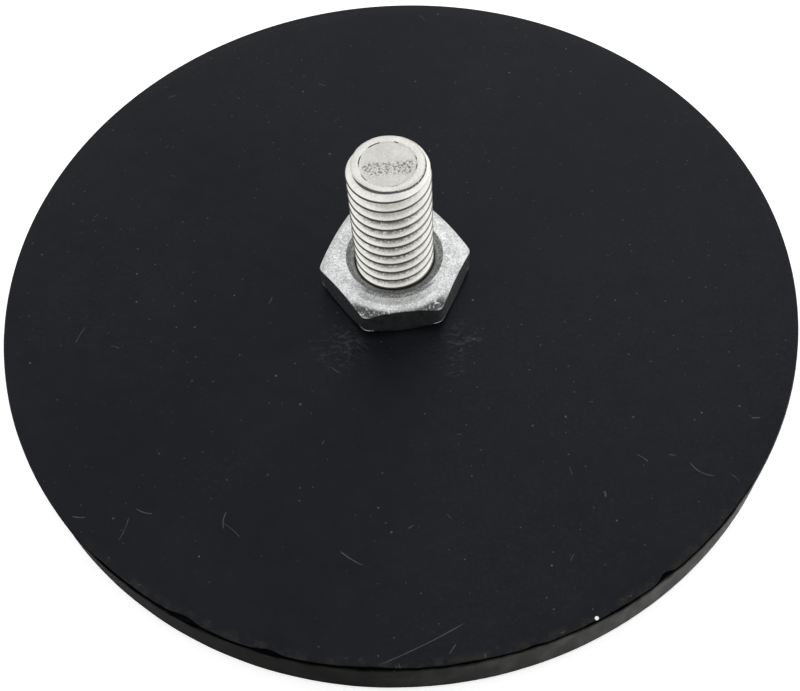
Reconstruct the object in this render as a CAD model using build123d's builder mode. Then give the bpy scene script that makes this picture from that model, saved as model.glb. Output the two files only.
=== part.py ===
from build123d import *
import math
import os

# A rubber-coated round magnet with a threaded stud and a thin hexagon nut.
# Millimetres. The origin is the centre of the gripping face, and +Z runs up the stud.

# Rubber jacket
BODY_DIAMETER = 60.4
BODY_HEIGHT = 4.5
TOP_SKIN = 0.7
BOTTOM_SKIN = 0.7
SIDE_WALL = 1.7
TOP_EDGE_RADIUS = 0.2
BOTTOM_EDGE_RADIUS = 0.6

# Disc magnets, in two rings around the stud
MAGNET_DIAMETER = 10.0
MAGNET_HEIGHT = 1.5
MAGNET_EDGE = 0.2
OUTER_RING_RADIUS = 22.6
OUTER_RING_COUNT = 12
INNER_RING_RADIUS = 11.6
INNER_RING_COUNT = 6

# Steel backing plate
PLATE_EDGE = 0.3

# Threaded stud, M6 x 1, pressed into the plate from below
STUD_PROJECTION = 13.3
STUD_END_CHAMFER = 0.5
HEAD_RADIUS = 4.1
HEAD_HEIGHT = 0.8
SHANK_RADIUS = 3.0
RIB_COUNT = 12
RIB_WIDTH = 0.8
RIB_HEIGHT = 0.35
NECK_RADIUS = 2.3
NECK_RISE = 0.7

# Thread of the stud
PITCH = 1.0
CREST_RADIUS = 2.95
ROOT_RADIUS = 2.37
CREST_FLAT = PITCH / 8
FLANK_ANGLE = 30.0

# Thread of the nut, which runs inside the stud's thread with a little play
NUT_MINOR_RADIUS = 2.5
NUT_MAJOR_RADIUS = 3.02
THREAD_PLAY = 0.06

# How far the cutting shapes run past the metal: sideways, and along the thread
CUTTER_REACH = 0.05
RUN_OUT = PITCH / 2

# Thin hexagon nut
NUT_ACROSS_FLATS = 10.0
NUT_HEIGHT = 3.0
NUT_TURN = 3.0
NUT_FACE_RADIUS = 4.6
NUT_CHAMFER_ANGLE = 30.0
COUNTERSINK_RADIUS = 3.65
COUNTERSINK_ANGLE = 30.0

# Heights and radii that follow from the sizes above
MAGNET_BASE = BOTTOM_SKIN
PLATE_BASE = MAGNET_BASE + MAGNET_HEIGHT
PLATE_TOP = BODY_HEIGHT - TOP_SKIN
PLATE_RADIUS = BODY_DIAMETER / 2 - SIDE_WALL
HEAD_TOP = PLATE_BASE + HEAD_HEIGHT
NECK_TOP = BODY_HEIGHT + NECK_RISE
STUD_TOP = BODY_HEIGHT + STUD_PROJECTION
NUT_TOP = BODY_HEIGHT + NUT_HEIGHT
NUT_CORNER_RADIUS = NUT_ACROSS_FLATS / math.sqrt(3) + CUTTER_REACH

# Where the grooves start above +X. The nut's is half a pitch out of step with the stud's,
# so that its ridges run in the stud's grooves
STUD_THREAD_START = BODY_HEIGHT + PITCH / 2
NUT_THREAD_START = BODY_HEIGHT - PITCH


def cone_drop(outer_radius, inner_radius, angle):
    """How far a cone falls between two radii."""
    return (outer_radius - inner_radius) * math.tan(math.radians(angle))


def serrated_circle():
    """The round outline with ribs that locks the stud in the plate."""
    Circle(SHANK_RADIUS)
    with PolarLocations(SHANK_RADIUS, RIB_COUNT):
        Rectangle(2 * RIB_HEIGHT, RIB_WIDTH)


def helical_groove(start_height, end_height, inner, outer):
    """Cut a right-hand groove turn by turn; inner and outer are (radius, axial half-width)."""
    for turn in range(math.ceil((end_height - start_height) / PITCH)):
        height = start_height + turn * PITCH
        with BuildLine() as path:
            Helix(PITCH, PITCH, inner[0], center=(0, 0, height))
        with BuildSketch(Plane.XZ) as section:
            with Locations((0, height)):
                Polygon(
                    (inner[0], -inner[1]),
                    (outer[0], -outer[1]),
                    (outer[0], outer[1]),
                    (inner[0], inner[1]),
                    align=None,
                )
        sweep(section.sketch, path=path.line, is_frenet=True, mode=Mode.SUBTRACT)


def stud_gap(radius):
    """Half the axial width of the stud's groove at a radius."""
    slope = math.tan(math.radians(FLANK_ANGLE))
    return (PITCH - CREST_FLAT) / 2 - (CREST_RADIUS - radius) * slope


def nut_gap(radius):
    """Half the axial width of the nut's groove at a radius."""
    return PITCH / 2 - (stud_gap(radius) - THREAD_PLAY)


def disc_magnet(label, ring_radius, angle):
    """One nickel-plated disc under the plate, at an angle around its ring."""
    with BuildPart() as magnet:
        with BuildSketch(Plane.XY.offset(MAGNET_BASE)):
            with PolarLocations(ring_radius, 1, start_angle=angle):
                Circle(MAGNET_DIAMETER / 2)
        extrude(amount=MAGNET_HEIGHT)
        chamfer(magnet.edges().filter_by(GeomType.CIRCLE), length=MAGNET_EDGE)
    magnet.part.label = label
    return magnet


def magnet_ring(name, ring_radius, count):
    """An evenly spaced ring of magnets, numbered from +X."""
    return [
        disc_magnet(f"{name}_magnet_{i + 1:02d}", ring_radius, i * 360 / count)
        for i in range(count)
    ]


magnets = magnet_ring("outer", OUTER_RING_RADIUS, OUTER_RING_COUNT)
magnets += magnet_ring("inner", INNER_RING_RADIUS, INNER_RING_COUNT)

# The plate carries the magnets on its underside and the stud's head in a counterbore
with BuildPart() as backing_plate:
    with BuildSketch(Plane.XY.offset(PLATE_BASE)):
        Circle(PLATE_RADIUS)
    extrude(amount=PLATE_TOP - PLATE_BASE)
    chamfer(backing_plate.edges().filter_by(GeomType.CIRCLE), length=PLATE_EDGE)
    with BuildSketch(Plane.XY.offset(PLATE_BASE)):
        Circle(HEAD_RADIUS)
    extrude(amount=HEAD_HEIGHT, mode=Mode.SUBTRACT)
    with BuildSketch(Plane.XY.offset(HEAD_TOP)):
        serrated_circle()
    extrude(amount=PLATE_TOP - HEAD_TOP, mode=Mode.SUBTRACT)
backing_plate.part.label = "backing_plate"

# The stud: flush head, ribbed shank in the plate, neck in the rubber, then thread
with BuildPart() as threaded_stud:
    with BuildSketch(Plane.XY.offset(HEAD_TOP)):
        serrated_circle()
    extrude(amount=PLATE_TOP - HEAD_TOP)
    with BuildSketch(Plane.XZ):
        with BuildLine():
            Polyline(
                (0, PLATE_BASE),
                (HEAD_RADIUS, PLATE_BASE),
                (HEAD_RADIUS, HEAD_TOP),
                (NECK_RADIUS, HEAD_TOP),
                (NECK_RADIUS, NECK_TOP),
                (CREST_RADIUS, NECK_TOP + CREST_RADIUS - NECK_RADIUS),
                (CREST_RADIUS, STUD_TOP - STUD_END_CHAMFER),
                (CREST_RADIUS - STUD_END_CHAMFER, STUD_TOP),
                (0, STUD_TOP),
                close=True,
            )
        make_face()
    revolve(axis=Axis.Z)
    helical_groove(
        STUD_THREAD_START,
        STUD_TOP + RUN_OUT,
        (ROOT_RADIUS, stud_gap(ROOT_RADIUS)),
        (CREST_RADIUS + CUTTER_REACH, stud_gap(CREST_RADIUS + CUTTER_REACH)),
    )
threaded_stud.part.label = "threaded_stud"

# The nut: a hexagon with coned corners, countersunk both ends, cut with the mating thread
with BuildPart() as hex_nut:
    with BuildSketch(Plane.XY.offset(BODY_HEIGHT)):
        RegularPolygon(NUT_ACROSS_FLATS / 2, 6, major_radius=False, rotation=NUT_TURN)
    extrude(amount=NUT_HEIGHT)
    corner_drop = cone_drop(NUT_CORNER_RADIUS, NUT_FACE_RADIUS, NUT_CHAMFER_ANGLE)
    countersink_depth = cone_drop(COUNTERSINK_RADIUS, NUT_MINOR_RADIUS, COUNTERSINK_ANGLE)
    with BuildSketch(Plane.XZ):
        with BuildLine():
            Polyline(
                (NUT_MINOR_RADIUS, BODY_HEIGHT + countersink_depth),
                (COUNTERSINK_RADIUS, BODY_HEIGHT),
                (NUT_FACE_RADIUS, BODY_HEIGHT),
                (NUT_CORNER_RADIUS, BODY_HEIGHT + corner_drop),
                (NUT_CORNER_RADIUS, NUT_TOP - corner_drop),
                (NUT_FACE_RADIUS, NUT_TOP),
                (COUNTERSINK_RADIUS, NUT_TOP),
                (NUT_MINOR_RADIUS, NUT_TOP - countersink_depth),
                close=True,
            )
        make_face()
    revolve(axis=Axis.Z, mode=Mode.INTERSECT)
    helical_groove(
        NUT_THREAD_START,
        NUT_TOP + RUN_OUT,
        (NUT_MINOR_RADIUS - CUTTER_REACH, nut_gap(NUT_MINOR_RADIUS - CUTTER_REACH)),
        (NUT_MAJOR_RADIUS, nut_gap(NUT_MAJOR_RADIUS)),
    )
hex_nut.part.label = "hex_nut"

# The jacket is moulded round the plate, the magnets and the stud's neck in one piece
with BuildPart() as rubber_jacket:
    with BuildSketch():
        Circle(BODY_DIAMETER / 2)
    extrude(amount=BODY_HEIGHT)
    rims = rubber_jacket.edges().filter_by(GeomType.CIRCLE).sort_by(Axis.Z)
    fillet(rims[0], radius=BOTTOM_EDGE_RADIUS)
    fillet(rims[-1], radius=TOP_EDGE_RADIUS)
    with BuildSketch(Plane.XY.offset(PLATE_TOP)):
        Circle(NECK_RADIUS)
    extrude(amount=TOP_SKIN, mode=Mode.SUBTRACT)
    for piece in [backing_plate, threaded_stud, *magnets]:
        add(piece.part, mode=Mode.SUBTRACT)
rubber_jacket.part.label = "rubber_jacket"

os.makedirs("parts", exist_ok=True)
for piece in [rubber_jacket, backing_plate, threaded_stud, hex_nut, *magnets]:
    export_step(piece.part, f"parts/{piece.part.label}.step")
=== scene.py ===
import math

import bmesh
import bpy
import numpy as np
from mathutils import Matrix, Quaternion, Vector, noise


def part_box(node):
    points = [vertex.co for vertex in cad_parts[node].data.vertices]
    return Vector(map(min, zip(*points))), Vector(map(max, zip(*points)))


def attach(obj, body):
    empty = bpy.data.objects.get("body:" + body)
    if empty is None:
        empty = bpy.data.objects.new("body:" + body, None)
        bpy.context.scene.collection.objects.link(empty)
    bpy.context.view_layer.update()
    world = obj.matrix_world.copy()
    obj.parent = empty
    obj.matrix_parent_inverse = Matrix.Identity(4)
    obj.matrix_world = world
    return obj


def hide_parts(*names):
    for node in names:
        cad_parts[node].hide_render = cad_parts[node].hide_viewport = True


# The looks of a rubber-coated round magnet with a threaded stud and a thin hexagon nut.
# Meshes are worked out in millimetres and written in metres. +Z runs up the stud.

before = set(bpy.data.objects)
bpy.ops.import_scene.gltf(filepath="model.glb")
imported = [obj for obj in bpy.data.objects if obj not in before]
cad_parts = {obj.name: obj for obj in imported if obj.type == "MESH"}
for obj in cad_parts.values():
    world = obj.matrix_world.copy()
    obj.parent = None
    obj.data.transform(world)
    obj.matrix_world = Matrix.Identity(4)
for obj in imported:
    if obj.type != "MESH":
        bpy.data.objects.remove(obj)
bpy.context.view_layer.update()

MM = 0.001
jacket_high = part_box("rubber_jacket")[1] / MM
stud_low, stud_high = [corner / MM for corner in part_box("threaded_stud")]
nut_low, nut_high = [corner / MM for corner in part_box("hex_nut")]

# The direction from the stud to the front, where the camera is
FRONT = math.radians(273)

# Rubber jacket: a top sheet lies in the moulded cup, with a ragged seam round its edge
TOP = jacket_high.z
WALL_RADIUS = jacket_high.x
SHEET_RADIUS = WALL_RADIUS - 0.23
SHEET_SINK = 0.02
LIP_HEIGHT = TOP - 0.16
UNDERSIDE_HEIGHT = 0.008
BOTTOM_EDGE_RADIUS = 0.6
NECK_RADIUS = 2.3
CAVITY_RADIUS = 28.6
CAVITY_FLOOR = 0.5
RIM_COLUMNS = 1080

# The seam gapes up to one angle from the front and is shut beyond the other
SEAM_OPEN = math.radians(44)
SEAM_SHUT = math.radians(51)

# Tears in the top sheet's edge: direction and half length in degrees, depth
TEARS = [(239.0, 3.0, 0.24), (250.5, 2.6, 0.20), (263.0, 5.0, 0.10), (302.6, 1.7, 0.28)]

# Wrinkles rubbed into the rubber beside the nut: direction and half width in degrees,
# strength. Each is at its full strength up to one angle from its direction
WRINKLES = [(233, 25, 1.0), (308, 24, 0.8)]
WRINKLE_FULL = math.radians(8)

# Patches of rubber rubbed by the nut, where the streaks are wear with painted highlights: place, reach
RUBBED_PATCHES = [(-4.6, -5.9, 2.6), (4.6, -5.8, 2.0), (3.9, -8.2, 1.3)]

# Marks on the top face: x, y, angle in degrees, length, half width, bend
SCRATCHES = [
    (0.0, -28.6, 22, 6.4, 0.038, 0.012),
    (-4.4, -22.5, -37, 2.0, 0.05, 0.08),
    (-18.5, -18.0, -22, 1.3, 0.05, 0.25),
    (-13.0, -19.0, 81, 1.4, 0.05, -0.30),
    (-23.0, -18.0, -9, 1.0, 0.05, 0.20),
    (1.8, -29.0, 52, 0.8, 0.05, 0.0),
    (16.1, -16.7, -41, 1.0, 0.05, -0.30),
    (19.8, -18.1, -38, 2.0, 0.05, 0.30),
    (24.5, -14.3, -2, 0.7, 0.07, 0.0),
    (13.1, -19.2, 85, 0.5, 0.09, 0.0),
]

# A bright chip at the edge: place, reach
PALE_CHIP = (11.2, -27.7, 0.16)

# Stud and its M6 x 1 thread
PITCH = 1.0
THREAD_ROWS = 20
THREAD_SLOPE = math.tan(math.radians(30))
STUD_COLUMNS = 264
STUD_FLOOR = stud_low.z
STUD_TOP = stud_high.z
HEAD_RADIUS = stud_high.x
HEAD_TOP = STUD_FLOOR + 0.8
SHANK_RADIUS = 3.0
RIB_COUNT = 12
RIB_WIDTH = 0.8
RIB_HEIGHT = 0.35
PLATE_TOP = HEAD_TOP + 0.8
NECK_TOP = TOP + 0.7
CREST_RADIUS = 2.95
ROOT_RADIUS = 2.37
ROOT_HALF_WIDTH = 0.103
STUD_END_CHAMFER = 0.5

# The stud's sheared end: a fold under its edge, a sunk disc, and a torn band across the disc
FOLD_DROP = 0.16
DISC_RADIUS = 1.97
TEAR_MIDDLE = -0.35

# Where the grooves are centred above +X, half a pitch apart for the stud and the nut
STUD_GROOVE_START = TOP - PITCH / 2
NUT_GROOVE_START = TOP - PITCH

# Nut
NUT_FLOOR = nut_low.z
NUT_TOP = nut_high.z
NUT_MIDDLE = (NUT_FLOOR + NUT_TOP) / 2
NUT_HALF_FLATS = 5.0
NUT_TURN = math.radians(3)
NUT_CORNER_SHARPNESS = 40.0
NUT_FACE_RADIUS = 4.6
NUT_RING_RADIUS = 4.25
NUT_COLUMNS = 432
NUT_MINOR_RADIUS = 2.5
NUT_MAJOR_RADIUS = 3.02
NUT_GROOVE_HALF_WIDTH = 0.082
COUNTERSINK_RADIUS = 3.65
CONE_SLOPE = math.tan(math.radians(30))

# Marks on the nut: painted shade in the gap round the stud, a less darkened band in the countersink,
# painted shade in front of it, painted glints at the feet of the corners, and where the front side
# gives way to the sides left and right of it
GAP_RADIUS = 3.12
BRIGHT_BAND_RADIUS = 3.22
FRONT_SHADE_RADIUS = 3.99
FOOT_GLINT_RADIUS = 5.42
FRONT_SIDE_FADE = (2.4, 3.8)

# Camera: the place it looks at is on the top face, in front of the stud
CAMERA_PLACE = (0.0, -49.82, 75.93)
CAMERA_AIM = (-0.10, -6.17, 4.5)
CAMERA_ROLL = math.radians(-4.426)
CAMERA_LENS = 50.84
SENSOR_WIDTH = 36.0

# Studio
FLOOR_RINGS = (1500.0, 700.0, 200.0, 60.0)
FLOOR_LEVEL = -0.01
FLOOR_GLOW = 0.50
SOFTBOX_PLACE = (60.0, 120.0, 190.0)
SOFTBOX_AIM = (0.0, 0.0, 8.0)
SOFTBOX_WIDTH = 160.0
SOFTBOX_WATTS = 0.03

# Colours, as linear red, green and blue
RUBBER_BLACK = (0.0036, 0.0040, 0.0056)
RUBBER_GREY = (0.0070, 0.0074, 0.0094)
RUBBER_SCUFFED = (0.0150, 0.0155, 0.0175)
RUBBER_RUBBED_AND_LIT = (0.034, 0.035, 0.037)
RUBBER_EDGE = (0.0150, 0.0145, 0.0120)
RUBBER_SCRATCHED = (0.13, 0.135, 0.135)
RUBBER_CHIPPED = (0.95, 0.95, 0.93)
# The side wall's rubber as painted shade and as painted light
WALL_SHADED = [(0.0014, 0.0014, 0.0012), (0.0070, 0.0069, 0.0056)]
WALL_LIT = [(0.013, 0.013, 0.011), (0.090, 0.090, 0.081)]
DUST = (0.15, 0.145, 0.14)
# Zinc colours; the darkened one serves both dirt and painted shade
STUD_COLOURS = {"bright": (0.98, 0.97, 0.92), "dull": (0.84, 0.83, 0.78), "darkened": (0.030, 0.027, 0.022)}
NUT_COLOURS = {"bright": (0.96, 0.97, 0.96), "dull": (0.46, 0.48, 0.48), "darkened": (0.030, 0.033, 0.030)}
STEEL = [(0.34, 0.34, 0.35), (0.50, 0.50, 0.50)]
RUST = (0.16, 0.08, 0.04)
NICKEL = [(0.60, 0.57, 0.50), (0.72, 0.69, 0.62)]
CARD = [(0.91, 0.91, 0.91), (0.94, 0.94, 0.94)]
DOME_WHITE = (0.995, 0.998, 1.0)


# ---------------------------------------------------------------- mesh helpers


def ring_angles(columns):
    """Evenly spaced angles round a full turn."""
    return np.linspace(0, 2 * math.pi, columns, endpoint=False)


def on_ring(radius, angles):
    """The x and y of the points at a radius, one for each angle."""
    return radius * np.cos(angles), radius * np.sin(angles)


def fine_noise(x, y, z, size, seed=0.0):
    """Smooth noise between about -1 and 1 at each point, with bumps of one size in millimetres."""
    x, y, z = np.broadcast_arrays(x, y, z)
    shift = Vector((seed * 17.3, seed * 5.1, seed * 9.7))
    points = zip(x.ravel() / size, y.ravel() / size, z.ravel() / size)
    values = [noise.noise(Vector(point) + shift) for point in points]
    return np.array(values).reshape(x.shape)


def rim_noise(angles, size, seed):
    """Noise along the rim, which closes on itself."""
    return fine_noise(*on_ring(WALL_RADIUS, angles), 0.0, size, seed)


def smooth_step(value, start, end):
    """0 before start, 1 after end, and smooth between; start may be above end."""
    share = np.clip((value - start) / (end - start), 0, 1)
    return share * share * (3 - 2 * share)


def smooth_min(a, b, blend):
    """The smaller of two values, with the corner between them rounded."""
    share = np.clip(0.5 + (b - a) / (2 * blend), 0, 1)
    return b + (a - b) * share - blend * share * (1 - share)


def smooth_max(a, b, blend):
    """The larger of two values, with the corner between them rounded."""
    return -smooth_min(-np.asarray(a), -np.asarray(b), blend)


class Shell:
    """Collects the points and faces of one closed surface."""

    def __init__(self):
        self.points = []
        self.faces = []

    def ring(self, radius, height, angles):
        """A closed ring of points; radius and height are numbers or one value per angle."""
        first = len(self.points)
        radius = np.broadcast_to(radius, angles.shape)
        height = np.broadcast_to(height, angles.shape)
        self.points += zip(*on_ring(radius, angles), height)
        return list(range(first, len(self.points)))

    def join(self, lower, upper):
        """Quads between two rings of the same count."""
        self.faces += zip(lower, lower[1:] + lower[:1], upper[1:] + upper[:1], upper)

    def rings(self, stations, angles, start=None):
        """Rings through the stations (radius, height), each joined to the one before."""
        last = start
        made = []
        for radius, height in stations:
            ring = self.ring(radius, height, angles)
            if last is not None:
                self.join(last, ring)
            made.append(ring)
            last = ring
        return made

    def cap(self, ring, height):
        """Closes a ring with a fan to the axis."""
        self.points.append((0.0, 0.0, height))
        centre = len(self.points) - 1
        self.faces += [(a, b, centre) for a, b in zip(ring, ring[1:] + ring[:1])]

    def threaded_wall(self, radius_at, bottom, top, groove_start, columns):
        """A threaded wall between two heights; returns its bottom and top rings.

        Rows follow the helix, so that crests and roots stay crisp, and a row that runs past
        an end stops on it. radius_at takes the angle, the height and the axial distance to
        the nearest groove's centre.
        """
        angles = ring_angles(columns)
        step = PITCH / THREAD_ROWS
        count = math.ceil((top - bottom + PITCH) / step) + 1
        rise = PITCH * angles / (2 * math.pi)
        heights = bottom - PITCH + step * np.arange(count)[:, None] + rise[None, :]
        heights = np.clip(heights, bottom, top)
        turns = (heights - groove_start - rise) / PITCH
        offset = np.abs(turns - np.round(turns)) * PITCH
        radii = radius_at(np.broadcast_to(angles, heights.shape), heights, offset)
        low = self.ring(radius_at(angles, np.full(columns, bottom), offset[0]), bottom, angles)
        high = self.ring(radius_at(angles, np.full(columns, top), offset[-1]), top, angles)
        number = np.zeros(heights.shape, int)
        for row in range(count):
            for column in range(columns):
                height = heights[row, column]
                if height <= bottom:
                    number[row, column] = low[column]
                elif height >= top:
                    number[row, column] = high[column]
                else:
                    number[row, column] = len(self.points)
                    x = radii[row, column] * math.cos(angles[column])
                    y = radii[row, column] * math.sin(angles[column])
                    self.points.append((x, y, height))
        for row in range(count - 1):
            for column in range(columns):
                if column + 1 < columns:
                    right, right_up = number[row, column + 1], number[row + 1, column + 1]
                else:
                    wrapped = row + THREAD_ROWS
                    right = number[wrapped, 0] if wrapped < count else high[0]
                    right_up = number[wrapped + 1, 0] if wrapped + 1 < count else high[0]
                corners = [number[row, column], right, right_up, number[row + 1, column]]
                face = [int(c) for i, c in enumerate(corners) if c != corners[i - 1]]
                if len(face) > 2:
                    self.faces.append(tuple(face))
        return low, high


def build_piece(name, shell, sharp_angle, extend=None):
    """Turns a shell into an object in metres, with smooth faces and sharp edges by angle."""
    mesh = bpy.data.meshes.new(name)
    mesh.from_pydata([Vector(point) * MM for point in shell.points], [], shell.faces)
    work = bmesh.new()
    work.from_mesh(mesh)
    if extend:
        extend(work)
    bmesh.ops.recalc_face_normals(work, faces=work.faces)
    limit = math.radians(sharp_angle)
    for face in work.faces:
        face.smooth = True
    for edge in work.edges:
        edge.smooth = edge.calc_face_angle(math.pi) < limit
    work.to_mesh(mesh)
    work.free()
    piece = bpy.data.objects.new(name, mesh)
    bpy.context.scene.collection.objects.link(piece)
    return piece


def stand_for(piece, node, body, material):
    """Puts a detailed piece in the place of a CAD node, on the same body."""
    piece.data.materials.append(material)
    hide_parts(node)
    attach(piece, body)


# ---------------------------------------------------------------- the rubber jacket


def wall_relief(angles, height):
    """Small unevenness of the moulded side wall, in millimetres."""
    x, y = on_ring(WALL_RADIUS, angles)
    return 0.012 * fine_noise(x, y, height, 2.5, 3) + 0.006 * fine_noise(x, y, height, 0.6, 4)


def wear_near_nut(radius, angles):
    """Where the turning nut has rubbed wrinkles into the rubber, between 0 and 1."""
    zone_strength = 0.0
    for direction, half_width, strength in WRINKLES:
        away = np.abs(angles - math.radians(direction))
        zone_strength = zone_strength + strength * smooth_step(away, math.radians(half_width), WRINKLE_FULL)
    band = smooth_step(radius, 5.6, 6.2) * smooth_step(radius, 9.4, 7.4)
    return zone_strength * band


def top_height(radius, angles):
    """Height of the jacket's top face: nearly flat, rolled off at its edge, rubbed by the nut."""
    x, y = on_ring(radius, angles)
    waves = 0.020 * fine_noise(x, y, 0.0, 11.0, 1) + 0.006 * fine_noise(x, y, 0.0, 2.6, 2)
    zone_strength = wear_near_nut(radius, angles)
    ripples = 0.0
    if zone_strength.max() > 0:
        drift = 0.55 * fine_noise(x, y, 0.0, 1.6, 5)
        patchy = smooth_step(fine_noise(x, y, 0.0, 0.9, 13), -0.15, 0.35)
        ripples = 0.026 * zone_strength * patchy * np.sin((radius + drift) * 2 * math.pi / 0.42)
        ripples = ripples + 0.022 * zone_strength * fine_noise(x, y, 0.0, 0.30, 6)
    under_nut = smooth_step(radius, 6.2, 5.2)
    roll_off = 0.05 * smooth_step(radius, SHEET_RADIUS - 1.1, SHEET_RADIUS)
    level = TOP - SHEET_SINK + (waves + ripples) * (1 - under_nut)
    return level + SHEET_SINK * under_nut - roll_off


def underside_and_wall(angles):
    """Stations from the gripping face round the lower edge and up the side wall."""
    stations = []
    floor_radius = WALL_RADIUS - BOTTOM_EDGE_RADIUS
    for radius in np.linspace(2.0, floor_radius - 0.4, 14):
        uneven = fine_noise(*on_ring(radius, angles), 0.0, 3.0, 7)
        stations.append((radius, UNDERSIDE_HEIGHT + UNDERSIDE_HEIGHT * uneven))
    for turn in np.linspace(0, math.pi / 2, 8):
        radius = floor_radius + BOTTOM_EDGE_RADIUS * math.sin(turn)
        height = BOTTOM_EDGE_RADIUS * (1 - math.cos(turn))
        stations.append((radius + wall_relief(angles, height) * math.sin(turn), height))
    for height in np.linspace(BOTTOM_EDGE_RADIUS, LIP_HEIGHT - 0.1, 12)[1:]:
        stations.append((WALL_RADIUS - 0.02 + wall_relief(angles, height), height))
    return stations


def seam(angles):
    """Stations over the cup's lip, down into the ragged gap and up the top sheet's edge.

    The seam stands open at the front and is pressed shut round the sides and the back.
    """
    opening = smooth_step(np.abs(angles - FRONT), SEAM_SHUT, SEAM_OPEN)
    wander = 0.045 * rim_noise(angles, 3.6, 8) + 0.03 * rim_noise(angles, 1.1, 9)
    nick = 0.05 * smooth_step(rim_noise(angles, 1.9, 10), 0.20, 0.50)
    for direction, half_length, depth in TEARS:
        away = np.abs(np.degrees(angles) - direction)
        nick = np.maximum(nick, depth * smooth_step(away, half_length, 0.0))
    frayed = 0.05 * rim_noise(angles, 0.5, 11)
    edge = SHEET_RADIUS + 0.045 + wander + 0.3 * frayed - nick
    lip_inside = WALL_RADIUS - 0.12 + wander
    lip = LIP_HEIGHT + 0.06 * rim_noise(angles, 1.7, 12) - 0.3 * nick

    # Radius and height where the seam is open, then distance in from the wall and down
    # from the top where it is shut
    profile = [
        (WALL_RADIUS - 0.03 + frayed * 0.2, lip - 0.04, 0.030, 0.300),
        (WALL_RADIUS - 0.05 + frayed * 0.3, lip, 0.035, 0.240),
        (lip_inside + 0.03, lip - 0.01, 0.045, 0.190),
        (lip_inside, lip - 0.14, 0.060, 0.155),
        (edge + 0.01, TOP - 0.50, 0.080, 0.130),
        (edge - 0.03, TOP - 0.46, 0.100, 0.110),
        (edge - 0.02, TOP - 0.22 + frayed, 0.130, 0.095),
        (edge, TOP - 0.13 + frayed * 0.5, 0.160, 0.085),
        (edge - 0.02, TOP - 0.085 + frayed * 0.3, 0.200, 0.075),
        (edge - 0.07, TOP - 0.070 + frayed * 0.2, 0.260, 0.070),
    ]
    stations = []
    for open_radius, open_height, shut_inset, shut_drop in profile:
        radius = WALL_RADIUS - shut_inset
        height = TOP - shut_drop
        radius = radius + (open_radius - radius) * opening
        height = height + (open_height - height) * opening
        stations.append((radius, height))
    return stations


def top_face(angles):
    """Stations from the top sheet's edge in to the neck's hole, closest where the nut has rubbed."""
    radii = list(SHEET_RADIUS - np.array([0.32, 0.45, 0.65, 1.0, 1.5]))
    radii += list(np.linspace(SHEET_RADIUS - 2.2, 9.6, 26))
    radii += list(np.linspace(9.5, 5.6, 44))
    radii += list(np.linspace(5.2, NECK_RADIUS + 0.02, 6))
    return [(radius, top_height(np.full(angles.shape, radius), angles)) for radius in radii]


def add_cavity(work):
    """Closes the skin with the cavity that holds the plate, the magnets and the stud's neck."""
    skin_edges = [edge for edge in work.edges if edge.is_boundary]
    cavity = bmesh.new()
    cavity.from_mesh(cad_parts["rubber_jacket"].data)
    bmesh.ops.remove_doubles(cavity, verts=cavity.verts, dist=1e-7)

    def is_skin(vertex):
        return vertex.co.xy.length > CAVITY_RADIUS * MM or vertex.co.z < CAVITY_FLOOR * MM

    outside = [face for face in cavity.faces if any(is_skin(v) for v in face.verts)]
    bmesh.ops.delete(cavity, geom=outside, context="FACES")
    mesh = bpy.data.meshes.new("cavity")
    cavity.to_mesh(mesh)
    cavity.free()
    known = set(work.edges)
    work.from_mesh(mesh)
    bpy.data.meshes.remove(mesh)
    neck_edges = [edge for edge in work.edges if edge.is_boundary and edge not in known]
    bmesh.ops.bridge_loops(work, edges=skin_edges + neck_edges)


def make_jacket():
    """The rubber: underside, rounded lower edge, side wall, seam, top face and neck hole."""
    angles = ring_angles(RIM_COLUMNS)
    shell = Shell()
    rings = shell.rings(underside_and_wall(angles) + seam(angles) + top_face(angles), angles)
    shell.cap(rings[0], UNDERSIDE_HEIGHT)
    piece = build_piece("jacket_rubber_skin", shell, 50, extend=add_cavity)
    stand_for(piece, "rubber_jacket", "magnet_body", rubber_material())


# ---------------------------------------------------------------- the threaded stud


def stud_radius(angles, heights, offset):
    """Radius of the stud's thread, with its end chamfer and the cone above the neck."""
    flank = ROOT_RADIUS + (offset - ROOT_HALF_WIDTH) / THREAD_SLOPE
    wall = smooth_min(smooth_max(flank, ROOT_RADIUS, 0.06), CREST_RADIUS, 0.07)
    x, y = on_ring(wall, angles)
    wall = wall + 0.0035 * fine_noise(x, y, heights, 0.5, 20)
    chamfer = CREST_RADIUS - STUD_END_CHAMFER + (STUD_TOP - heights)
    chamfer = chamfer + 0.018 * fine_noise(x, y, heights, 0.9, 21)
    neck = NECK_RADIUS - 0.01 + (heights - NECK_TOP)
    fold = 0.06 * smooth_step(np.abs(heights - STUD_TOP + FOLD_DROP), 0.08, 0.02)
    fold = fold * smooth_step(np.sin(angles), 0.7, 0.2)
    return smooth_min(np.minimum(wall, neck), chamfer, 0.05) - fold


def end_height(radius, angles):
    """Height of the stud's sheared end: a sunk disc with a torn band, inside a smoother ring."""
    x, y = on_ring(radius, angles)
    drift = 0.3 * fine_noise(x, y, 0.0, 1.1, 22)
    off_tear = np.abs(y - TEAR_MIDDLE) + drift
    rough = smooth_step(radius + drift, 2.0, 1.6) * smooth_step(off_tear, 1.0, 0.4)
    torn = fine_noise(x, y, 0.0, 0.22, 23) + 0.6 * fine_noise(x, y, 0.0, 0.11, 24)
    dish = 0.045 * smooth_step(radius + 0.2 * drift, DISC_RADIUS + 0.05, DISC_RADIUS - 0.09)
    level = STUD_TOP - 0.015 - dish + 0.012 * fine_noise(x, y, 0.0, 0.6, 25)
    return level + (0.006 + 0.028 * rough) * torn


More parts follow.
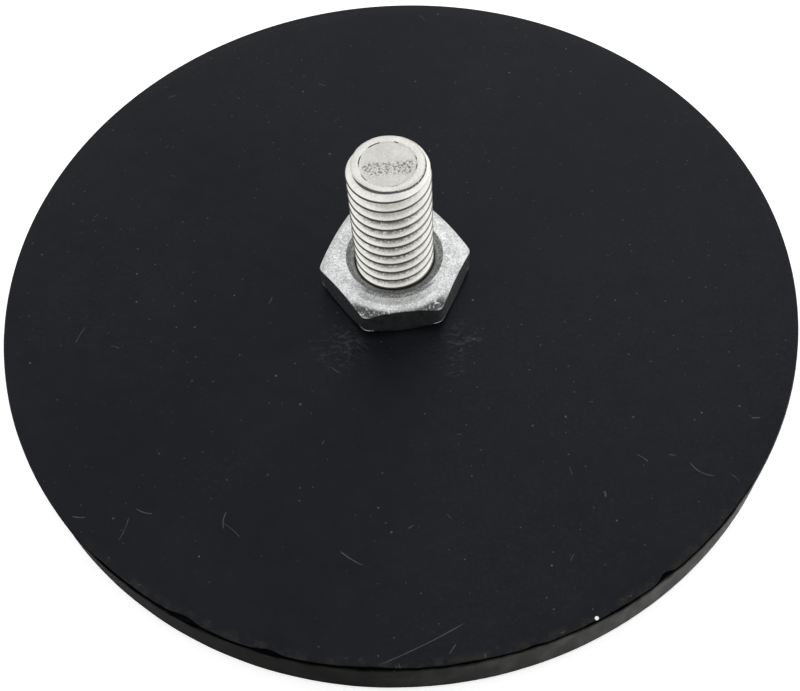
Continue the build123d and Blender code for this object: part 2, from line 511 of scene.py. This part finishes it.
def make_stud():
    """The stud: flush head, ribbed shank, neck, thread and rough end face."""
    angles = ring_angles(STUD_COLUMNS)
    shell = Shell()
    spacing = 2 * math.pi / RIB_COUNT
    from_rib = np.abs((angles + spacing / 2) % spacing - spacing / 2) * SHANK_RADIUS
    shank = SHANK_RADIUS + RIB_HEIGHT * smooth_step(from_rib, RIB_WIDTH / 2 + 0.05, RIB_WIDTH / 2)
    stations = [(radius, STUD_FLOOR) for radius in (1.0, 2.5, HEAD_RADIUS - 0.08)]
    stations += [
        (HEAD_RADIUS - 0.01, STUD_FLOOR + 0.07),
        (HEAD_RADIUS - 0.01, HEAD_TOP - 0.07),
        (HEAD_RADIUS - 0.08, HEAD_TOP),
        (shank + 0.02, HEAD_TOP),
        (shank, HEAD_TOP + 0.03),
        (shank, PLATE_TOP - 0.03),
        (shank - 0.03, PLATE_TOP),
        (NECK_RADIUS, PLATE_TOP),
        (NECK_RADIUS - 0.01, PLATE_TOP + 0.03),
        (NECK_RADIUS - 0.01, TOP),
    ]
    lower = shell.rings(stations, angles)
    shell.cap(lower[0], STUD_FLOOR)
    groove = STUD_GROOVE_START
    foot, end = shell.threaded_wall(stud_radius, NECK_TOP, STUD_TOP - 0.06, groove, STUD_COLUMNS)
    shell.join(lower[-1], foot)
    end_radius = np.array([math.hypot(*shell.points[index][:2]) for index in end])
    stations = [(end_radius - 0.025, STUD_TOP - 0.038), (end_radius - 0.06, STUD_TOP - 0.024)]
    flat_radius = CREST_RADIUS - STUD_END_CHAMFER - 0.1
    for radius in np.linspace(flat_radius, 0.06, 38):
        stations.append((radius, end_height(np.full(angles.shape, radius), angles)))
    top = shell.rings(stations, angles, start=end)
    shell.cap(top[-1], STUD_TOP - 0.055)
    piece = build_piece("stud_rolled_thread", shell, 42)
    stand_for(piece, "threaded_stud", "magnet_body", stud_material())


# ---------------------------------------------------------------- the nut


def hexagon_radius(angles):
    """Distance to the nut's sides at each angle, with rounded corners."""
    total = np.zeros(angles.shape)
    for side in range(6):
        facing = math.radians(30) + NUT_TURN + side * math.pi / 3
        total += np.clip(np.cos(angles - facing) / NUT_HALF_FLATS, 0, None) ** NUT_CORNER_SHARPNESS
    return total ** (-1 / NUT_CORNER_SHARPNESS)


def nut_bore(angles, heights, offset):
    """Radius of the nut's thread, opened out by a countersink at both ends."""
    flank = NUT_MAJOR_RADIUS - (offset - NUT_GROOVE_HALF_WIDTH) / THREAD_SLOPE
    wall = smooth_max(smooth_min(flank, NUT_MAJOR_RADIUS, 0.03), NUT_MINOR_RADIUS, 0.03)
    depth = np.minimum(heights - NUT_FLOOR, NUT_TOP - heights)
    cone = COUNTERSINK_RADIUS - depth / CONE_SLOPE
    cone = cone + 0.012 * fine_noise(*on_ring(1.0, angles), heights, 0.12, 30)
    return smooth_max(wall, cone, 0.04)


def nut_end(angles, side, towards_top):
    """Stations across one end face of the nut, from the countersink out to the side's edge."""
    level = NUT_TOP if towards_top else NUT_FLOOR
    down = -1 if towards_top else 1
    stations = [(COUNTERSINK_RADIUS + 0.04, level + down * 0.012)]

    def add_hammered(radius, height):
        x, y = on_ring(radius, angles)
        hammered = fine_noise(x, y, level, 0.30, 31) + 0.5 * fine_noise(x, y, level, 0.14, 32)
        depth = smooth_step(radius, COUNTERSINK_RADIUS, NUT_FACE_RADIUS) * 0.007 + 0.004
        corner = smooth_step(radius, NUT_HALF_FLATS - 0.1, NUT_HALF_FLATS + 0.4)
        dents = (depth + 0.011 * corner) * (hammered - 1.3)
        stations.append((radius, height - down * dents))

    for radius in np.linspace(COUNTERSINK_RADIUS + 0.1, NUT_FACE_RADIUS - 0.12, 12):
        ring = 0.006 * math.exp(-((radius - NUT_RING_RADIUS) / 0.05) ** 2)
        add_hammered(np.full(angles.shape, radius), np.full(angles.shape, level + down * ring))
    for share in np.linspace(0, 1, 14):
        radius = NUT_FACE_RADIUS + (side - 0.05 - NUT_FACE_RADIUS) * share
        drop = smooth_max((radius - NUT_FACE_RADIUS) * CONE_SLOPE, 0.0, 0.03) + 0.004
        add_hammered(radius, level + down * drop)
    return stations


def make_nut():
    """The nut: threaded bore, countersunk ends, coned corners and flat sides."""
    angles = ring_angles(NUT_COLUMNS)
    side = hexagon_radius(angles)
    shell = Shell()
    groove = NUT_GROOVE_START
    foot, mouth = shell.threaded_wall(nut_bore, NUT_FLOOR, NUT_TOP, groove, NUT_COLUMNS)
    top = nut_end(angles, side, True)
    bottom = nut_end(angles, side, False)
    corner_drop = (side - NUT_FACE_RADIUS) * CONE_SLOPE
    upper_edge = NUT_TOP - corner_drop
    lower_edge = NUT_FLOOR + corner_drop
    walls = [(side - 0.015, upper_edge - 0.035)]
    for share in np.linspace(0.03, 0.97, 16):
        height = upper_edge + (lower_edge - upper_edge) * share
        dents = 0.008 * (fine_noise(*on_ring(side, angles), height, 0.45, 33) - 1) - 0.002
        walls.append((side + dents, height))
    walls.append((side - 0.015, lower_edge + 0.035))
    rings = shell.rings(top + walls + bottom[::-1], angles, start=mouth)
    shell.join(rings[-1], foot)
    piece = build_piece("hex_nut_zinc", shell, 28)
    stand_for(piece, "hex_nut", "nut", nut_material())


# ---------------------------------------------------------------- material helpers


class Graph:
    """Short ways to add and link the nodes of one material; sizes are in millimetres."""

    def __init__(self, name):
        self.material = bpy.data.materials.new(name)
        self.material.use_nodes = True
        self.tree = self.material.node_tree
        self.tree.nodes.clear()
        coordinates = self.tree.nodes.new("ShaderNodeTexCoord")
        millimetres = (1 / MM, 1 / MM, 1 / MM)
        scaled = self.vector_math("MULTIPLY", coordinates.outputs["Object"], millimetres)
        self.place = scaled.outputs[0]
        self.flat_place = self.stretched((1.0, 1.0, 0.0))
        self.x, self.y, self.z = self.split(self.place)
        squares = self.math("ADD", self.math("POWER", self.x, 2.0), self.math("POWER", self.y, 2.0))
        self.radius = self.math("SQRT", squares)

    def feed(self, socket, value):
        """Links a node's output to a socket, or sets the socket's own value."""
        if isinstance(value, bpy.types.NodeSocket):
            self.tree.links.new(value, socket)
        elif value is not None:
            socket.default_value = value

    def math(self, operation, a, b=None, clamp=False):
        """A math node on one or two numbers."""
        node = self.tree.nodes.new("ShaderNodeMath")
        node.operation = operation
        node.use_clamp = clamp
        for socket, value in zip(node.inputs, (a, b)):
            self.feed(socket, value)
        return node.outputs[0]

    def vector_math(self, operation, a, b):
        """A math node on two vectors; the node itself is returned."""
        node = self.tree.nodes.new("ShaderNodeVectorMath")
        node.operation = operation
        for socket, value in zip(node.inputs, (a, b)):
            self.feed(socket, value)
        return node

    def split(self, vector):
        """The x, y and z of a vector."""
        node = self.tree.nodes.new("ShaderNodeSeparateXYZ")
        self.tree.links.new(vector, node.inputs[0])
        return node.outputs

    def split_colour(self, colour):
        """The red, green and blue of a colour."""
        node = self.tree.nodes.new("ShaderNodeSeparateColor")
        self.tree.links.new(colour, node.inputs[0])
        return node.outputs

    def turned(self, vector, angle, centre=(0.0, 0.0, 0.0)):
        """The x and y of a vector, turned about the Z axis through a centre."""
        node = self.tree.nodes.new("ShaderNodeVectorRotate")
        node.rotation_type = "Z_AXIS"
        self.feed(node.inputs["Vector"], vector)
        self.feed(node.inputs["Center"], centre)
        self.feed(node.inputs["Angle"], angle)
        return self.split(node.outputs[0])[:2]

    def times(self, first, *others):
        """Masks or numbers multiplied together."""
        for other in others:
            first = self.math("MULTIPLY", first, other)
        return first

    def any_of(self, masks):
        """The strongest of several masks."""
        strongest = masks[0]
        for mask in masks[1:]:
            strongest = self.math("MAXIMUM", strongest, mask)
        return strongest

    def away(self, value, centre):
        """How far a value is from a centre."""
        return self.math("ABSOLUTE", self.math("SUBTRACT", value, centre))

    def step(self, value, start, end, low=0.0, high=1.0):
        """A smooth step from low at start to high at end."""
        node = self.tree.nodes.new("ShaderNodeMapRange")
        node.interpolation_type = "SMOOTHSTEP"
        for socket, given in zip(node.inputs, (value, start, end, low, high)):
            self.feed(socket, given)
        return node.outputs[0]

    def mix(self, share, a, b):
        """A colour between a and b."""
        node = self.tree.nodes.new("ShaderNodeMix")
        node.data_type = "RGBA"
        for index, value in ((0, share), (6, a), (7, b)):
            if isinstance(value, tuple):
                value = (*value, 1.0)
            self.feed(node.inputs[index], value)
        return node.outputs[2]

    def blend(self, share, a, b):
        """A number between a and b."""
        node = self.tree.nodes.new("ShaderNodeMix")
        for index, value in ((0, share), (2, a), (3, b)):
            self.feed(node.inputs[index], value)
        return node.outputs[0]

    def stretched(self, stretch):
        """The place, stretched along each axis."""
        return self.vector_math("MULTIPLY", self.place, stretch).outputs[0]

    def noise(self, size, detail=3.0, roughness=0.55, place=None, distortion=0.0):
        """Noise with bumps of one size, between 0 and 1."""
        node = self.tree.nodes.new("ShaderNodeTexNoise")
        self.feed(node.inputs["Vector"], place or self.place)
        node.inputs["Scale"].default_value = 1 / size
        node.inputs["Detail"].default_value = detail
        node.inputs["Roughness"].default_value = roughness
        node.inputs["Distortion"].default_value = distortion
        return node.outputs["Fac"]

    def cells(self, size):
        """Flat Voronoi cells of one size; the node itself is returned."""
        node = self.tree.nodes.new("ShaderNodeTexVoronoi")
        node.voronoi_dimensions = "2D"
        self.feed(node.inputs["Vector"], self.flat_place)
        node.inputs["Scale"].default_value = 1 / size
        return node

    def bump(self, height):
        """A normal bent by a height."""
        node = self.tree.nodes.new("ShaderNodeBump")
        node.inputs["Distance"].default_value = MM
        self.feed(node.inputs["Height"], height)
        return node.outputs["Normal"]

    def specks(self, size, radius, chance):
        """Round specks in some of the cells."""
        cell = self.cells(size)
        draw, spread = self.split_colour(cell.outputs["Color"])[:2]
        kept = self.math("LESS_THAN", draw, chance)
        away = self.times(cell.outputs["Distance"], size)
        return self.times(kept, self.step(away, self.times(spread, radius), 0.0))

    def line(self, along, across, half_length, half_width, bend, ends, edge):
        """A bent line; ends and edge are the shares of its length and width that stay solid."""
        curve = self.times(self.math("POWER", along, 2.0), bend)
        away = self.away(across, curve)
        along = self.math("ABSOLUTE", along)
        inside = self.step(along, half_length, self.times(half_length, ends))
        return self.times(self.step(away, half_width, half_width * edge), inside)

    def arcs(self, size, length, half_width, bend, chance):
        """Short bent hairlines, one in some of the cells, each at its own angle."""
        cell = self.cells(size)
        turn, stretch, draw = self.split_colour(cell.outputs["Color"])
        local = self.vector_math("SUBTRACT", self.flat_place, cell.outputs["Position"])
        along, across = self.turned(local.outputs[0], self.times(turn, 2 * math.pi))
        half_length = self.times(self.math("ADD", stretch, 0.4), length)
        line = self.line(along, across, half_length, half_width, bend, 0.6, 0.3)
        return self.times(line, self.math("LESS_THAN", draw, chance))

    def scratch(self, x, y, angle, length, half_width, bend):
        """One scratch on the top face, centred at x and y."""
        along, across = self.turned(self.flat_place, -math.radians(angle), (x, y, 0.0))
        along = self.math("SUBTRACT", along, x)
        across = self.math("SUBTRACT", across, y)
        return self.line(along, across, length / 2, half_width, bend, 0.7, 0.2)

    def spot(self, x, y, reach, inner):
        """A round spot on the top face, solid out to inner and gone at reach."""
        away = self.vector_math("DISTANCE", self.flat_place, (x, y, 0.0)).outputs["Value"]
        return self.step(away, reach, inner)

    def surface(self, **inputs):
        """The finished surface; inputs are the Principled shader's, with _ for a space."""
        shader = self.tree.nodes.new("ShaderNodeBsdfPrincipled")
        output = self.tree.nodes.new("ShaderNodeOutputMaterial")
        for name, value in inputs.items():
            if isinstance(value, tuple):
                value = (*value, 1.0)
            self.feed(shader.inputs[name.replace("_", " ")], value)
        self.tree.links.new(shader.outputs[0], output.inputs[0])
        return self.material


# ---------------------------------------------------------------- rubber


def top_sheet_colour(g, cloud, blotch, on_top):
    """Black rubber with fine scuffs in places, and lighter streaks where the nut has rubbed it: wear,
    with painted highlights on the wrinkles.
    """
    tone = g.math("ADD", g.times(cloud, 0.5), g.times(blotch, 0.5))
    colour = g.mix(g.step(tone, 0.3, 0.7), RUBBER_BLACK, RUBBER_GREY)
    scuff = g.step(g.noise(0.30, detail=3.0, roughness=0.75), 0.45, 0.75)
    scuff = g.times(scuff, g.step(g.noise(9.0, detail=1.0), 0.42, 0.62, 0.15, 1.0))
    rubbed = g.any_of([g.spot(x, y, reach, reach * 0.4) for x, y, reach in RUBBED_PATCHES])
    # Lighter streaks in the rubbed patches: wear, lightened further as painted highlights on the
    # wrinkles
    streak = g.noise(0.34, detail=3.0, distortion=1.2, place=g.stretched((0.45, 1.0, 0.0)))
    streak = g.times(g.step(streak, 0.50, 0.66), rubbed, on_top)
    colour = g.mix(g.times(scuff, 0.5), colour, RUBBER_SCUFFED)
    return g.mix(g.times(streak, 0.7), colour, RUBBER_RUBBED_AND_LIT)


def side_wall_colour(g, lit_side, behind):
    """A greyer rubber with upright streaks, calmer behind, with painted light on the front right and
    painted shade at the front left.
    """
    ribs = g.noise(0.5, place=g.stretched((1.0, 1.0, 0.25)), detail=4.0, roughness=0.7)
    tone = g.step(g.noise(1.5, place=g.stretched((1.0, 1.0, 0.5)), detail=3.0), 0.35, 0.65)
    tone = g.times(tone, g.step(ribs, 0.35, 0.65, 0.4, 1.0))
    tone = g.blend(g.times(behind, 0.6), tone, 0.4)
    return g.mix(lit_side, g.mix(tone, *WALL_SHADED), g.mix(tone, *WALL_LIT))


def add_dust_and_marks(g, colour, cloud, blotch, edge_band, on_top):
    """Dust, hairlines, frayed threads at the edge, scratches and a chip, laid over a colour."""
    dust = g.any_of([g.specks(2.6, 0.13, 0.45), g.specks(1.0, 0.08, 0.30)])
    dust = g.times(dust, g.step(cloud, 0.35, 0.6, 0.25, 0.75))
    dust = g.times(dust, g.step(g.radius, SHEET_RADIUS - 0.05, SHEET_RADIUS - 0.3))
    hairs = g.any_of([g.arcs(9.0, 0.8, 0.045, 0.12, 0.09), g.arcs(3.6, 0.35, 0.045, -0.5, 0.08)])
    frays = g.times(g.arcs(0.9, 0.28, 0.035, 0.8, 0.5), edge_band)
    scratches = g.any_of([g.scratch(*scratch) for scratch in SCRATCHES])
    marks = g.any_of([g.times(hairs, 0.7), frays, scratches])
    marks = g.times(marks, g.step(blotch, 0.35, 0.60, 0.45, 1.0), on_top)
    colour = g.mix(dust, colour, DUST)
    colour = g.mix(g.times(marks, 0.6), colour, RUBBER_SCRATCHED)
    chip = g.times(g.spot(*PALE_CHIP, PALE_CHIP[2] * 0.6), on_top)
    return g.mix(chip, colour, RUBBER_CHIPPED)


def rubber_material():
    """Moulded black rubber: mottled, dusty and scratched, with lighter rubbed streaks that are partly
    painted highlights, and an olive, worn side wall with painted light on its front right and painted
    shade at its front left.
    """
    g = Graph("black_rubber")
    cloud = g.noise(7.0, detail=3.0)
    blotch = g.noise(1.5, detail=4.0, roughness=0.65)
    grain = g.noise(0.15, detail=2.0, roughness=0.7)
    on_top = g.step(g.z, TOP - 0.3, TOP - 0.12)
    on_wall = g.step(g.radius, SHEET_RADIUS - 0.01, SHEET_RADIUS + 0.05)
    on_wall = g.times(on_wall, g.step(g.z, TOP - 0.09, TOP - 0.16))

    # Painted light and shade on the wall: darkest at the front left, palest at the front right, where
    # the light falls, and even at the back
    behind = g.step(g.y, -18.0, 0.0)
    lit_side = g.times(g.step(g.x, -7.0, 27.0), g.step(g.y, -5.0, -15.0))
    lit_side = g.any_of([lit_side, g.times(behind, 0.30)])
    edge_band = g.step(g.radius, SHEET_RADIUS - 0.75, SHEET_RADIUS - 0.15)
    edge_band = g.times(edge_band, g.step(g.noise(0.7, detail=4.0, roughness=0.7), 0.42, 0.62))
    edge_band = g.times(edge_band, g.step(g.y, -18.0, -23.0), on_top)
    colour = g.mix(edge_band, top_sheet_colour(g, cloud, blotch, on_top), RUBBER_EDGE)
    colour = g.mix(on_wall, colour, side_wall_colour(g, lit_side, behind))
    return g.surface(
        Base_Color=add_dust_and_marks(g, colour, cloud, blotch, edge_band, on_top),
        Roughness=g.blend(on_wall, g.blend(cloud, 0.30, 0.44), 0.50),
        # The wall also reflects more where it is painted lit and little where it is painted shaded
        Specular_IOR_Level=g.blend(on_wall, 0.135, g.blend(lit_side, 0.013, 0.16)),
        Specular_Tint=g.mix(on_wall, (0.86, 0.90, 1.0), (1.0, 1.0, 0.94)),
        Normal=g.bump(g.math("ADD", g.times(grain, 0.0022), g.times(blotch, 0.008))),
    )


# ---------------------------------------------------------------- zinc


def zinc_surface(g, colours, darkening, metal, polish, roughest, hammer):
    """Zinc plated steel: crystalline mottling, dull patches, and darkening where a mask puts it, which
    is dirt in places and painted shade in others.

    polish and roughest are the roughness of the bright and the dull crystals, and hammer is
    the depth of the crystals.
    """
    patch = g.noise(1.2, detail=3.0, roughness=0.6)
    crystal = g.noise(0.13, detail=3.0, roughness=0.7)
    tone = g.math("ADD", g.times(patch, 0.35), g.times(crystal, 0.65))
    colour = g.mix(g.step(tone, 0.36, 0.64), colours["dull"], colours["bright"])
    roughness = g.blend(g.step(tone, 0.35, 0.65), roughest, polish)
    return g.surface(
        Base_Color=g.mix(darkening, colour, colours["darkened"]),
        Roughness=g.math("ADD", roughness, g.times(darkening, 0.25), clamp=True),
        Metallic=metal,
        Normal=g.bump(g.times(crystal, hammer)),
    )


def thread_grime_and_shade(g):
    """Grime and painted shade in the front roots, a painted dark reflection on the crests, and painted
    shade lines where the first turn is folded.
    """
    # Grime in the front roots, deepened with painted shade, strongest low down
    in_root = g.step(g.radius, CREST_RADIUS - 0.15, ROOT_RADIUS + 0.06)
    spots = g.step(g.noise(0.20, detail=3.0, roughness=0.7), 0.36, 0.54)
    grime_and_shade = g.times(in_root, spots, g.step(g.y, 0.6, -2.0))
    grime_and_shade = g.times(grime_and_shade, g.step(g.z, STUD_TOP - 1.6, STUD_TOP - 3.6, 0.25, 1.0))
    # Painted reflection of the dark rubber on the crests, lighter on the right, where the light falls
    crest_shade = g.step(g.radius, CREST_RADIUS - 0.075, CREST_RADIUS - 0.045)
    crest_shade = g.times(crest_shade, g.step(g.x, 0.8, 2.2, 1.0, 0.75))
    # Painted shade lines in the first turn's root and in the fold under the end's edge
    first_root_shade = g.times(g.step(g.radius, 2.50, 2.42), g.step(g.y, 1.6, 0.8))
    first_root_shade = g.times(first_root_shade, g.step(g.z, STUD_TOP - 0.95, STUD_TOP - 0.75))
    first_root_shade = g.times(first_root_shade, g.step(g.z, STUD_TOP - 0.10, STUD_TOP - 0.16))
    fold = g.step(g.away(g.z, STUD_TOP - FOLD_DROP), 0.055, 0.03)
    fold = g.times(fold, g.step(g.y, 1.4, 0.2), g.step(spots, 0.0, 0.4, 0.55, 1.0))
    lines = g.any_of([fold, first_root_shade])
    return g.any_of([g.times(grime_and_shade, 0.90), g.times(crest_shade, 0.95), g.times(lines, 0.92)])


def end_dirt(g):
    """A dull disc on the stud's end, with a torn, pitted band and a broken line round it."""
    on_end = g.step(g.z, STUD_TOP - 0.11, STUD_TOP - 0.08)
    disc = g.step(g.radius, DISC_RADIUS + 0.07, DISC_RADIUS - 0.03)
    torn = g.times(g.step(g.away(g.y, TEAR_MIDDLE), 0.95, 0.35), g.step(g.radius, 2.0, 1.6))
    pits = g.times(torn, g.step(g.noise(0.15, detail=3.0, roughness=0.65), 0.42, 0.58))
    speckle = g.step(g.noise(0.12, detail=2.0, roughness=0.7), 0.44, 0.66)
    edge_line = g.step(g.away(g.radius, DISC_RADIUS), 0.07, 0.02)
    edge_line = g.times(edge_line, g.step(g.noise(0.9), 0.42, 0.60))
    strengths = [(pits, 0.8), (disc, 0.36), (torn, 0.34), (speckle, 0.30)]
    darkening = g.any_of([edge_line] + [g.times(mask, strength) for mask, strength in strengths])
    return g.times(on_end, g.math("MAXIMUM", darkening, 0.24))


def stud_material():
    """Warm bright zinc, with a painted dark reflection on the crests, grime and painted shade in the
    front roots, painted shade lines near the end, and a torn end face.
    """
    g = Graph("stud_bright_zinc")
    darkening = g.any_of([thread_grime_and_shade(g), end_dirt(g)])
    metal = g.step(darkening, 0.0, 1.0, 0.9, 0.5)
    return zinc_surface(g, STUD_COLOURS, darkening, metal, polish=0.26, roughest=0.40, hammer=0.0035)


def inside_cone(g, height_from_end):
    """The radius less that of a cone at 30 degrees that starts on one end of the nut."""
    return g.math("SUBTRACT", g.radius, g.times(height_from_end, 1 / CONE_SLOPE))


def bore_darkening(g):
    """The countersink darkened, mottled, more in an outer band and less in an inner one, and painted
    shade in the gap round the stud.
    """
    bore = g.step(g.radius, COUNTERSINK_RADIUS + 0.02, COUNTERSINK_RADIUS - 0.06)
    tone = g.step(g.noise(0.20, detail=3.0), 0.3, 0.7, 0.35, 0.75)
    bright_band = g.step(g.away(g.radius, BRIGHT_BAND_RADIUS), 0.12, 0.05, 1.0, 0.55)
    gap_shade = g.step(g.radius, GAP_RADIUS, GAP_RADIUS - 0.12)
    return g.any_of([g.times(bore, tone, bright_band), g.times(gap_shade, 0.95)])


def nut_material():
    """Cool bright zinc, hammered on the ends, with dull dark scale on the coned corners, painted shade
    on the sides, in front of the countersink and in the gap round the stud, and painted glints at the
    corners' feet.
    """
    g = Graph("nut_bright_zinc")
    from_middle = g.away(g.z, NUT_MIDDLE)

    # Dark scale on the front corners, and painted shade, mottled, on the face in front of the
    # countersink
    scale = g.step(g.radius, NUT_FACE_RADIUS + 0.20, NUT_FACE_RADIUS + 0.52)
    scale = g.times(scale, g.step(g.noise(0.22, detail=3.0, roughness=0.65), 0.32, 0.48))
    scale = g.times(scale, g.step(g.y, -3.2, -4.4), g.step(from_middle, 0.80, 0.95))
    zone_strength = g.times(g.step(g.radius, FRONT_SHADE_RADIUS, FRONT_SHADE_RADIUS - 0.11), g.step(g.y, -2.4, -3.2))
    zone_strength = g.times(zone_strength, g.step(g.noise(0.16, detail=3.0), 0.34, 0.66, 0.40, 0.85))

    # The sides run from the upper cone to the lower one
    below_cone = inside_cone(g, g.math("SUBTRACT", NUT_TOP, g.z))
    below_cone = g.step(below_cone, NUT_FACE_RADIUS - 0.10, NUT_FACE_RADIUS - 0.25)
    side = g.any_of([g.step(from_middle, 0.85, 0.70), below_cone])
    side = g.times(side, g.step(g.radius, NUT_HALF_FLATS - 0.3, NUT_HALF_FLATS - 0.1))

    # Painted glints at the feet of the corners: there the metal turns diffuse and no shade lies on it,
    # so the pale zinc shows bright
    foot = inside_cone(g, g.math("SUBTRACT", g.z, NUT_FLOOR))
    foot = g.step(foot, NUT_FACE_RADIUS - 0.32, NUT_FACE_RADIUS - 0.18)
    foot = g.times(foot, g.step(g.radius, FOOT_GLINT_RADIUS, FOOT_GLINT_RADIUS + 0.08))
    foot_glint = g.times(foot, g.step(g.noise(0.5), 0.32, 0.45))

    # Painted shade on the sides, mottled: darkest at the front, less at the back and on the left, and
    # least on the right, where the light falls
    right = g.step(g.x, *FRONT_SIDE_FADE)
    left = g.step(g.times(g.x, -1.0), *FRONT_SIDE_FADE)
    grime_and_shade = g.times(side, g.step(g.noise(0.7, detail=4.0), 0.40, 0.65, 0.50, 0.80))
    grime_and_shade = g.times(grime_and_shade, g.step(g.y, 2.0, -2.0, 0.45, 1.0), g.math("SUBTRACT", 1.0, foot_glint))
    grime_and_shade = g.times(grime_and_shade, g.blend(right, 1.0, 0.10), g.blend(left, 1.0, 0.45))
    darkening = g.any_of([g.times(scale, 0.92), grime_and_shade, bore_darkening(g), zone_strength])

    # Painted light: the right side, and a little the left, are less metallic, so their pale zinc shows
    # lighter where the light falls
    side_metal = g.times(g.blend(right, 1.0, 0.94), g.blend(left, 1.0, 0.98))
    metal = g.blend(side, g.step(darkening, 0.0, 1.0, 0.55, 0.35), side_metal)
    # The painted glints are nearly without metal
    metal = g.blend(foot_glint, metal, 0.1)
    polish = g.blend(side, 0.34, 0.16)
    roughest = g.blend(side, 0.48, 0.24)
    return zinc_surface(g, NUT_COLOURS, darkening, metal, polish, roughest, hammer=0.009)


# ---------------------------------------------------------------- metals inside


def plate_material():
    """Turned mild steel with circular tool marks and a few brown stains."""
    g = Graph("plate_turned_steel")
    lines = g.tree.nodes.new("ShaderNodeTexNoise")
    lines.noise_dimensions = "1D"
    lines.inputs["Scale"].default_value = 9.0
    lines.inputs["Detail"].default_value = 4.0
    g.feed(lines.inputs["W"], g.radius)
    rust = g.times(g.step(g.noise(2.2, detail=5.0), 0.60, 0.75), 0.5)
    return g.surface(
        Base_Color=g.mix(rust, g.mix(g.noise(4.0, detail=4.0), *STEEL), RUST),
        Roughness=g.blend(lines.outputs["Fac"], 0.28, 0.50),
        Metallic=g.math("SUBTRACT", 1.0, rust),
        Normal=g.bump(g.times(lines.outputs["Fac"], 0.006)),
    )


def magnet_material():
    """Nickel plating with faint orange peel and small dull marks."""
    g = Graph("magnet_nickel")
    haze = g.noise(2.5, detail=4.0)
    return g.surface(
        Base_Color=g.mix(haze, *NICKEL),
        Roughness=g.blend(g.step(haze, 0.35, 0.7), 0.10, 0.26),
        Metallic=1.0,
        Normal=g.bump(g.times(g.noise(0.35, detail=2.0), 0.0024)),
    )


def finish_hidden_nodes():
    """Gives the plate and the magnets, which keep their CAD shapes, their own metals."""
    steel = plate_material()
    nickel = magnet_material()
    for name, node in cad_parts.items():
        if name == "backing_plate":
            material = steel
        elif "magnet" in name:
            material = nickel
        else:
            continue
        node.data.materials.clear()
        node.data.materials.append(material)


# ---------------------------------------------------------------- studio


def make_floor():
    """A plain pale floor under the gripping face, lightened a little where the camera sees it."""
    shell = Shell()
    rings = shell.rings([(radius, FLOOR_LEVEL) for radius in FLOOR_RINGS], ring_angles(64))
    shell.cap(rings[-1], FLOOR_LEVEL)
    floor = build_piece("floor", shell, 30)
    g = Graph("floor_pale_card")
    seen = g.tree.nodes.new("ShaderNodeLightPath").outputs["Is Camera Ray"]
    material = g.surface(
        Base_Color=g.mix(g.noise(30.0), *CARD),
        Roughness=0.8,
        Emission_Color=(1.0, 1.0, 1.0),
        Emission_Strength=g.times(seen, FLOOR_GLOW),
    )
    floor.data.materials.append(material)


def make_world():
    """A soft white dome, a little dim behind the camera and brighter low on the right."""
    world = bpy.data.worlds.new("studio_dome")
    bpy.context.scene.world = world
    world.use_nodes = True
    tree = world.node_tree
    background = tree.nodes["Background"]
    coordinates = tree.nodes.new("ShaderNodeTexCoord")

    def towards(direction, start, end, low, high):
        """A smooth patch of the dome round a direction."""
        dot = tree.nodes.new("ShaderNodeVectorMath")
        dot.operation = "DOT_PRODUCT"
        dot.inputs[1].default_value = Vector(direction).normalized()
        tree.links.new(coordinates.outputs["Generated"], dot.inputs[0])
        step = tree.nodes.new("ShaderNodeMapRange")
        step.interpolation_type = "SMOOTHSTEP"
        for socket, value in zip(list(step.inputs)[1:5], (start, end, low, high)):
            socket.default_value = value
        tree.links.new(dot.outputs["Value"], step.inputs[0])
        return step.outputs[0]

    def compute(operation, a, b):
        """A math node on two values or sockets."""
        node = tree.nodes.new("ShaderNodeMath")
        node.operation = operation
        for socket, value in zip(node.inputs, (a, b)):
            if isinstance(value, float):
                socket.default_value = value
            else:
                tree.links.new(value, socket)
        return node.outputs[0]

    behind_camera = towards((0.0, -0.60, 0.80), 0.80, 0.97, 1.0, 0.75)
    sideways = towards((1.0, 0.0, 0.0), -1.0, 1.0, -0.45, 0.30)
    near_floor = towards((0.0, 0.0, 1.0), 0.05, 0.40, 1.0, 0.0)
    tilt = compute("ADD", compute("MULTIPLY", sideways, near_floor), 1.0)
    tree.links.new(compute("MULTIPLY", behind_camera, tilt), background.inputs["Strength"])
    background.inputs["Color"].default_value = (*DOME_WHITE, 1.0)


def aim(thing, place, target, roll=0.0):
    """Puts a camera or a light at a place, facing a target; both are in millimetres."""
    thing.location = Vector(place) * MM
    sight = Vector(target) - Vector(place)
    thing.rotation_mode = "QUATERNION"
    turn = Quaternion((0.0, 0.0, 1.0), roll)
    thing.rotation_quaternion = sight.to_track_quat("-Z", "Y") @ turn
    bpy.context.scene.collection.objects.link(thing)


def make_lights():
    """A large soft light above and behind, which shapes the thread."""
    data = bpy.data.lights.new("softbox", "AREA")
    data.shape = "DISK"
    data.size = SOFTBOX_WIDTH * MM
    data.energy = SOFTBOX_WATTS
    aim(bpy.data.objects.new("softbox", data), SOFTBOX_PLACE, SOFTBOX_AIM)


def make_camera():
    """The camera close above the front edge, tipped a little clockwise."""
    data = bpy.data.cameras.new("camera")
    data.lens = CAMERA_LENS
    data.sensor_width = SENSOR_WIDTH
    data.clip_start = 1 * MM
    camera = bpy.data.objects.new("camera", data)
    aim(camera, CAMERA_PLACE, CAMERA_AIM, CAMERA_ROLL)
    bpy.context.scene.camera = camera


make_jacket()
make_stud()
make_nut()
finish_hidden_nodes()
make_floor()
make_world()
make_lights()
make_camera()
bpy.context.scene.view_settings.view_transform = "Standard"
